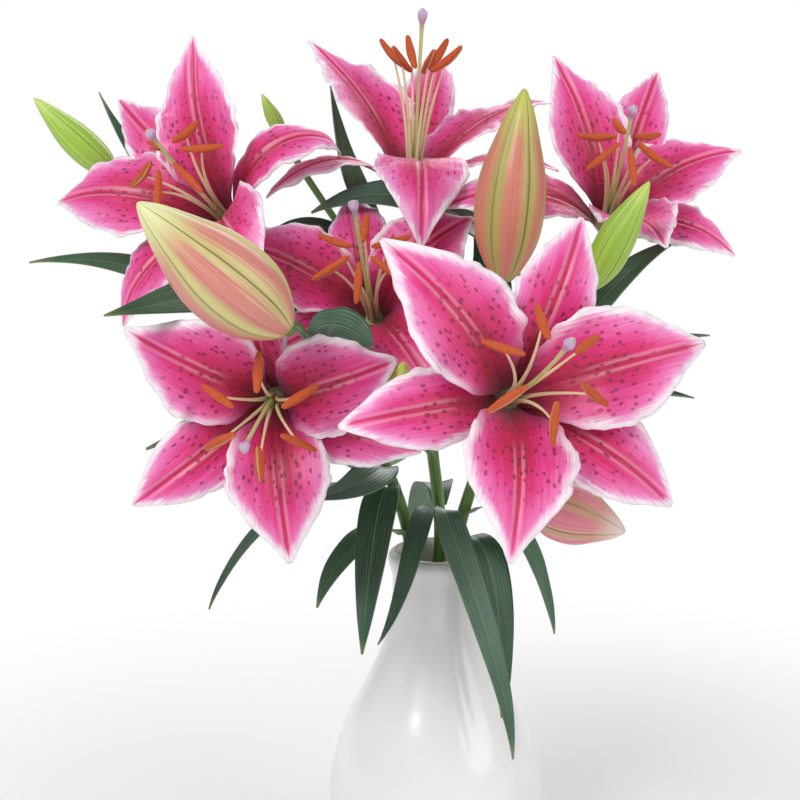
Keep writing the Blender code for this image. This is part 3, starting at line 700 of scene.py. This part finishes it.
def stamens(flower, spec, seed):
    """Filaments that bow out from a small disc, each with a pollen-covered anther across its tip."""
    base = np.array(spec["base"], float)
    right, up, out = flower_axes(spec["facing"])
    length, spread, forward = spec["stamens"]
    bend = spec["droop"][0] * right + spec["droop"][1] * up
    form = Form()
    for k in range(6):
        a = math.radians(30 + 60 * k)
        away = math.cos(a) * right + math.sin(a) * up
        point, keys = base + away * 2.3 + out * (DISC[1] + .3), []
        for step in range(6):
            keys.append((point, FILAMENT_RADIUS * (1.35 - .16 * step)))
            lean = math.radians(4 + (spread - 4) * (step / 4) ** 1.2)
            heading = unit(math.cos(lean) * out + math.sin(lean) * away + bend * step / 5)
            if step < 5:
                point = point + heading * length / 5
        place, last = tube_place(fine(keys, 24), seed + k)
        form.grid(last, 12, place, 0, True)
        cross = unit(.75 * away + forward * out)
        bow = unit(np.cross(cross, np.cross(out, cross)))
        route = []
        for n in range(21):
            t = n / 20 - .5
            width = ANTHER[1] * math.sqrt(max(0, 1 - (2 * t) ** 4)) * (.9 + .1 * math.cos(9 * t))
            route.append((keys[-1][0] + cross * ANTHER[0] * t + bow * 5 * (t * t - .08), max(width, .05)))
        place, last = tube_place(route, seed + k, anther_section)
        form.grid(last, 20, place, 1, True)
    ring = [(base + out * DISC[1], .1), (base + out * DISC[1], DISC[0]), (base + out * DISC[2], DISC[0] * .8),
            (base + out * DISC[2], .1)]
    place, last = tube_place(ring, seed)
    form.grid(last, 20, place, 0, True)
    node = flower + "_stamens"
    settle(form.make(node + "_fine", [MATERIALS["filament"], MATERIALS["pollen"]]), "stamen", node)


def pistil(flower, spec, seed):
    """A ribbed ovary, a long style and a three-lobed stigma."""
    base = np.array(spec["base"], float)
    right, up, out = flower_axes(spec["facing"])
    bend = spec["droop"][0] * right + spec["droop"][1] * up
    length = spec["pistil"]
    profile = ((0, 1.4), (.04, 1.9), (.16, 1.9), (.22, 1.35), (.5, 1.0), (.80, 1.05), (.92, 1.5),
               (.955, 2.7), (.985, 2.6), (1, .9))
    foot = base + out * (DISC[2] + .3)
    route = []
    for n in range(61):
        t = n / 60
        route.append((foot + out * length * t + bend * length * t * t, through(profile, t)))

    def lobes(angle):
        return .92 + .12 * math.cos(3 * angle)

    place, last = tube_place(route, seed, lobes)
    form = Form()
    form.grid(last, 24, place, 0, True)
    top = [(route[-1][0], .9), (route[-1][0] + out * .4, .05)]
    place, last = tube_place(top, seed, lobes)
    form.grid(last, 24, place, 0, True)
    node = flower + "_pistil"
    settle(form.make(node + "_fine", [MATERIALS["style"]]), "pistil", node)


# ---- stems, buds and leaves -----------------------------------------------------------------------------
def on_stem(stem, height):
    """Centre point, unit tangent and radius of a stem at a height."""
    points = STEMS[stem]
    xs = [(p[2], p[0]) for p in points]
    ys = [(p[2], p[1]) for p in points]
    centre = np.array([through(xs, height), through(ys, height), height])
    low, high = max(height - 3, points[0][2]), min(height + 3, points[-1][2])
    tangent = unit([through(xs, high) - through(xs, low), through(ys, high) - through(ys, low), high - low])
    share = (height - points[0][2]) / (points[-1][2] - points[0][2])
    return centre, tangent, STEM_RADIUS[0] + (STEM_RADIUS[1] - STEM_RADIUS[0]) * share


def pedicel_handles(stem, height, end, heading, reach):
    start, tangent, _ = on_stem(stem, height)
    neck = end - unit(heading) * 2
    return start, start + tangent * reach, neck - unit(heading) * reach, neck


def flower_pedicel(flower):
    """The stem, handles, end and end radius of a flower's pedicel."""
    carrier, height, reach = FLOWER_SEATS[flower]
    out = unit(FLOWERS[flower]["facing"])
    end = np.array(FLOWERS[flower]["base"]) + out * (SEPAL_ROOT[1] - .9)
    return carrier, pedicel_handles(carrier, height, end, out, reach), end, RECEPTACLE_RADIUS


def bud_pedicel(name):
    """The stem, handles, end and end radius of a bud's pedicel."""
    carrier, height, base, tip, diameter, heading = BUDS[name]
    along = unit(np.array(tip) - np.array(base))
    return (carrier, pedicel_handles(carrier, height, np.array(base) - along * .3, heading, 30),
            np.array(base) + along * .6, min(PEDICEL_RADIUS + .9, .14 * diameter))


def on_carrier(name, place):
    """Centre, tangent and radius on a stem at a height, or on a bud's pedicel at a share of it."""
    if name in STEMS:
        return on_stem(name, place)
    handles = bud_pedicel(name)[1]
    tangent = unit(bezier(handles, place + .02) - bezier(handles, place - .02))
    return bezier(handles, place), tangent, PEDICEL_RADIUS + .4


def stem(name):
    """A main stem, its pedicels, and the low swellings where they leave it."""
    low, high = STEMS[name][0][2], STEMS[name][-1][2]
    form = Form()
    route = []
    for k in range(STEM_ROWS + 1):
        h = low + (high - low) * k / STEM_ROWS
        centre, _, radius = on_stem(name, h)
        route.append((centre, radius * (1 + .04 * ripple(3, h / 9)) * (.02 if k == STEM_ROWS else 1)))
    route.insert(0, (route[0][0], .05))
    place, last = tube_place(route)
    form.grid(last, STEM_COLUMNS, place, 0, True)
    stalks = [flower_pedicel(flower) for flower in FLOWERS] + [bud_pedicel(bud) for bud in BUDS]
    for carrier, handles, end, end_radius in stalks:
        if carrier != name:
            continue
        route = []
        for k in range(PEDICEL_ROWS + 1):
            t = k / PEDICEL_ROWS
            radius = PEDICEL_RADIUS * (1 + .45 * smooth(.16, 0, t))
            radius += (end_radius - PEDICEL_RADIUS) * smooth(.86, 1, t)
            route.append((bezier(handles, t), radius))
        route += [(end, end_radius), (end, .05)]
        place, last = tube_place(route)
        form.grid(last, PEDICEL_COLUMNS, place, 0, True)
    settle(form.make(name + "_fine", [MATERIALS["stem"]]), "stem_green", name)


def bud(name, spec, seed):
    """A closed bud: three outer tepals that meet in seams, each with a raised midrib."""
    _, _, base, tip, diameter, _ = spec
    base, tip = np.array(base, float), np.array(tip, float)
    along = unit(tip - base)
    across = unit(np.cross(along, (0, 1, .01)))
    third = np.cross(along, across)
    length = np.linalg.norm(tip - base)
    grooves = .075 if "green" not in name else .05

    def place(s, t):
        s_even = .5 - .5 * math.cos(math.pi * s)
        angle = 2 * math.pi * t
        lobe = abs((3 * t) % 1 - .5)
        relief = -grooves * math.exp(-((.5 - lobe) / .035) ** 2)
        relief += .035 * math.exp(-(lobe / .05) ** 2) - .03 * math.exp(-((lobe - .11) / .05) ** 2)
        relief += .02 * math.exp(-((lobe - .27) / .10) ** 2) - .02
        ends = smooth(0, .06, s_even) * smooth(1.0, .93, s_even)
        outline = through(BUD_OUTLINE, s_even)
        outline *= min(1, s_even / .02 + .05) if s_even < .02 else 1
        outline *= min(1, (1 - s_even) / .01) if s_even > .99 else 1
        radius = diameter / 2 * outline * (1 + relief * ends + .012 * ripple(seed, s_even * 5, t * 4) * ends)
        bend = across * (.012 * length * math.sin(math.pi * s_even))
        point = base + along * length * s_even + bend
        point = point + radius * (math.cos(angle) * across + math.sin(angle) * third)
        return point, (t, s_even), (t * math.pi * diameter * MM, s_even * length * MM), (radius * MM, seed)

    form = Form()
    form.grid(BUD_ROWS, BUD_COLUMNS, place, 0, True)
    material = bud_material(name + "_skin", *BUD_TONES[name])
    settle(form.make(name + "_fine", [material]), "green_bud" if "green" in name else "pink_bud", name)


def leaf_place(spec, seed):
    """place(s, t) of one leaf along the model's centre line, with ribs and a wavy edge."""
    carrier, height, azimuth, climb, tip, tip_azimuth, tip_climb, width, roll = spec
    centre, tangent, radius = on_carrier(carrier, height)
    outward = direction(azimuth, 0)
    outward = unit(outward - tangent * (outward @ tangent))
    root = centre + outward * (radius + .9)
    tip = np.array(tip, float)
    reach = np.linalg.norm(tip - root) * .42
    handles = (root, root + direction(azimuth, climb) * reach,
               tip - direction(tip_azimuth, tip_climb) * reach, tip)
    broad_tip = unit((root[1] - tip[1], tip[0] - root[0], 0))
    if broad_tip[1] > 0:
        broad_tip = -broad_tip
    broad_root = unit(np.cross(tangent, outward))
    if broad_root @ broad_tip < 0:
        broad_root = -broad_root
    upward = 1 if np.cross(tip - root + (0, 0, .1), broad_tip)[2] > 0 else -1
    length = reach / .42 * 1.15

    def place(s, t):
        v = (2 * t - 1) * upward
        along = unit(bezier(handles, min(1, s + .02)) - bezier(handles, max(0, s - .02)))
        blend = min(1, s / .35)
        broad = broad_root * (1 - blend) + broad_tip * blend
        broad = unit(broad - along * (broad @ along))
        face = upward * np.cross(along, broad)
        turn = math.radians(roll) * min(1, s / .6)
        broad, face = (math.cos(turn) * broad - math.sin(turn) * face,
                       math.cos(turn) * face + math.sin(turn) * broad)
        half = width / 2 * through(LEAF_OUTLINE, s)
        fold = LEAF_FOLD * min(1, s / .2)
        rise = half * fold * (math.sqrt(v * v + .004) - .063)
        rise += abs(v) ** 2 * 1.1 * ripple(seed + (2 if v > 0 else 4), s * 4.5) * smooth(.05, .3, s)
        rise -= .25 * math.exp(-(v * half / .8) ** 2)
        point = bezier(handles, s) + broad * v * half + face * rise
        return point, (t, s), (v * half * MM, s * length * MM), ((1 - abs(v)) * half * MM, seed)

    return place


def leaf(name, spec, seed):
    form = Form()
    form.grid(LEAF_ROWS, LEAF_COLUMNS, leaf_place(spec, seed))
    tone = ("leaf_deep", "leaf_mid", "leaf_grey")[seed % 3]
    piece = form.make(name + "_fine", [MATERIALS[tone], MATERIALS["leaf_under"]])
    settle(thicken(piece, LEAF_THICKNESS, 1), "leaf", name)


# ---- vase, floor, light and camera ----------------------------------------------------------------------
def vase():
    """The turned wall, its profile smoothed between the model's points and its rim rounded."""
    inside, outside = (fine([(np.array((r, 0, z)), 1) for r, z in wall], rows) for wall, rows in
                       ((VASE_INSIDE, VASE_ROWS_INSIDE), (VASE_OUTSIDE, VASE_ROWS_OUTSIDE)))
    profile = [(p[0], p[2]) for p, _ in inside + outside]
    lengths = np.concatenate([[0], np.cumsum(np.hypot(*np.diff(profile, axis=0).T))])

    def place(s, t):
        k = min(int(round(s * (len(profile) - 1))), len(profile) - 1)
        radius, height = max(profile[k][0], .02), profile[k][1]
        angle = -2 * math.pi * t
        point = np.array([radius * math.cos(angle), radius * math.sin(angle), max(height, 0)])
        return point, (t, s), (t * math.pi * 2 * radius * MM, lengths[k] * MM), (radius * MM, 0)

    form = Form()
    form.grid(len(profile) - 1, VASE_COLUMNS, place, 0, True)
    settle(form.make("vase_fine", [glaze_material()]), "glazed_white", "vase")


def floor():
    """A pale floor that keeps the shadow near the vase and fades to white further out."""
    bpy.ops.mesh.primitive_plane_add(size=FLOOR_SIZE, location=(0, 0, 0))
    plane = bpy.context.object
    plane.name = "floor"
    m = Shader("floor_white", .9)
    m.plug(m.shader.inputs["Base Color"], (.90, .90, .90))
    tree = m.tree
    spread = m.node("ShaderNodeVectorMath", operation="LENGTH")
    tree.links.new(m.place(), spread.inputs[0])
    far = m.step(*FLOOR_FADE, spread.outputs["Value"])
    path = m.node("ShaderNodeLightPath")
    seen = m.math("ADD", path.outputs["Is Camera Ray"], path.outputs["Is Glossy Ray"], True)
    seen = m.math("ADD", seen, path.outputs["Is Transmission Ray"], True)
    glow = m.node("ShaderNodeEmission")
    blend = m.node("ShaderNodeMixShader")
    tree.links.new(m.math("MULTIPLY", far, seen), blend.inputs[0])
    tree.links.new(m.shader.outputs[0], blend.inputs[1])
    tree.links.new(glow.outputs[0], blend.inputs[2])
    tree.links.new(blend.outputs[0], tree.nodes["Material Output"].inputs["Surface"])
    plane.data.materials.append(m.material)


def world():
    """Even pale light all round; the camera, and what is seen through glass, gets plain white."""
    made = bpy.data.worlds.new("studio")
    bpy.context.scene.world = made
    made.use_nodes = True
    tree = made.node_tree
    back = tree.nodes["Background"]
    path = tree.nodes.new("ShaderNodeLightPath")
    seen = tree.nodes.new("ShaderNodeMath")
    seen.use_clamp = True
    for socket, title in zip(seen.inputs, ("Is Camera Ray", "Is Transmission Ray")):
        tree.links.new(path.outputs[title], socket)
    level = tree.nodes.new("ShaderNodeMapRange")
    level.inputs["To Min"].default_value = WORLD_LIGHT
    level.inputs["To Max"].default_value = 1.0
    tree.links.new(seen.outputs[0], level.inputs["Value"])
    tree.links.new(level.outputs["Result"], back.inputs["Strength"])
    back.inputs["Color"].default_value = (1, 1, 1, 1)


def area_light(name, place, aim, size, power):
    lamp = bpy.data.lights.new(name, "AREA")
    lamp.shape = "DISK"
    lamp.size = size
    lamp.energy = power
    holder = bpy.data.objects.new(name, lamp)
    holder.location = place
    holder.rotation_euler = (Vector(aim) - Vector(place)).to_track_quat("-Z", "Y").to_euler()
    bpy.context.scene.collection.objects.link(holder)


def camera():
    """Seen a little from above and in front, with the lower vase below the frame."""
    eye = bpy.data.cameras.new("camera")
    eye.sensor_width = 36
    eye.lens = CAMERA_LENS
    holder = bpy.data.objects.new("camera", eye)
    bpy.context.scene.collection.objects.link(holder)
    look = Vector((0, math.cos(math.radians(CAMERA_CLIMB)), -math.sin(math.radians(CAMERA_CLIMB))))
    holder.location = Vector(CAMERA_AIM) - look * CAMERA_DISTANCE
    holder.rotation_euler = look.to_track_quat("-Z", "Y").to_euler()
    bpy.context.scene.camera = holder


MATERIALS = {
    "stem": stem_material(), "filament": filament_material(), "pollen": anther_material(),
    "style": pistil_material(),
    "leaf_deep": leaf_material("leaf_deep", (.010, .045, .022), (.035, .105, .050)),
    "leaf_mid": leaf_material("leaf_mid", (.016, .062, .028), (.055, .14, .065)),
    "leaf_grey": leaf_material("leaf_grey", (.022, .070, .042), (.080, .16, .105)),
    "leaf_under": leaf_material("leaf_under", (.045, .095, .050), (.11, .19, .11)),
}

camera()
vase()
for name in STEMS:
    stem(name)
for number, (name, spec) in enumerate(FLOWERS.items()):
    whorl(name, spec, "sepals", 10 * number + 1)
    whorl(name, spec, "petals", 10 * number + 5)
    stamens(name, spec, 10 * number)
    pistil(name, spec, 10 * number)
for number, (name, spec) in enumerate(BUDS.items()):
    bud(name, spec, number)
for number, (name, spec) in enumerate(LEAVES.items()):
    leaf(name, spec, number)
floor()
world()
for name, (place, size, power) in LAMPS.items():
    area_light(name, place, LAMP_AIM, size, power)
bpy.context.scene.view_settings.view_transform = "Standard"
